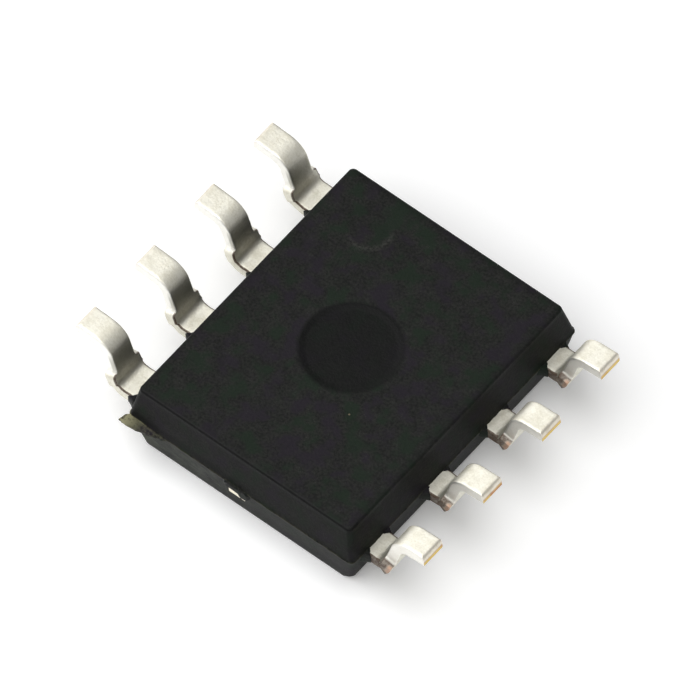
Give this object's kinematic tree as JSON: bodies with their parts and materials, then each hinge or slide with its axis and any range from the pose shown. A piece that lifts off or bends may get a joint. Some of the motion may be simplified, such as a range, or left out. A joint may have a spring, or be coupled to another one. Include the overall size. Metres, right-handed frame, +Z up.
{
  "type": "small-outline integrated circuit",
  "caption": "Small-outline chip lying on its marked face: drafted moulded body with a row of gull-wing leads along each long side, solder feet up.",
  "frame": {"origin": "midway between the lead rows, on the marked face, which the part lies on", "axes": "+Z up out of the underside towards the solder feet, +X across the lead rows towards the pin 1 row, +Y along the body towards pin 1"},
  "size_m": [0.006, 0.0048, 0.0015],
  "materials": {
    "mould_compound": "fine-grained black epoxy moulding compound",
    "tinned_lead": "matte tin over copper, bare copper on the cut ends",
    "leadframe_copper": "stamped copper, silver spot under the die",
    "die_adhesive": "cured silver-filled adhesive",
    "silicon": "polished silicon",
    "bond_wire": "drawn gold wire"
  },
  "bodies": {
    "root": {"mould_body": "mould_compound", "die_paddle": "leadframe_copper", "die_attach": "die_adhesive", "die": "silicon", "lead_1": "tinned_lead", "lead_2": "tinned_lead", "lead_3": "tinned_lead", "lead_4": "tinned_lead", "lead_5": "tinned_lead", "lead_6": "tinned_lead", "lead_7": "tinned_lead", "lead_8": "tinned_lead", "bond_wire_1": "bond_wire", "bond_wire_2": "bond_wire", "bond_wire_3": "bond_wire", "bond_wire_4": "bond_wire", "bond_wire_5": "bond_wire", "bond_wire_6": "bond_wire", "bond_wire_7": "bond_wire", "bond_wire_8": "bond_wire"}
  },
  "joints": []
}
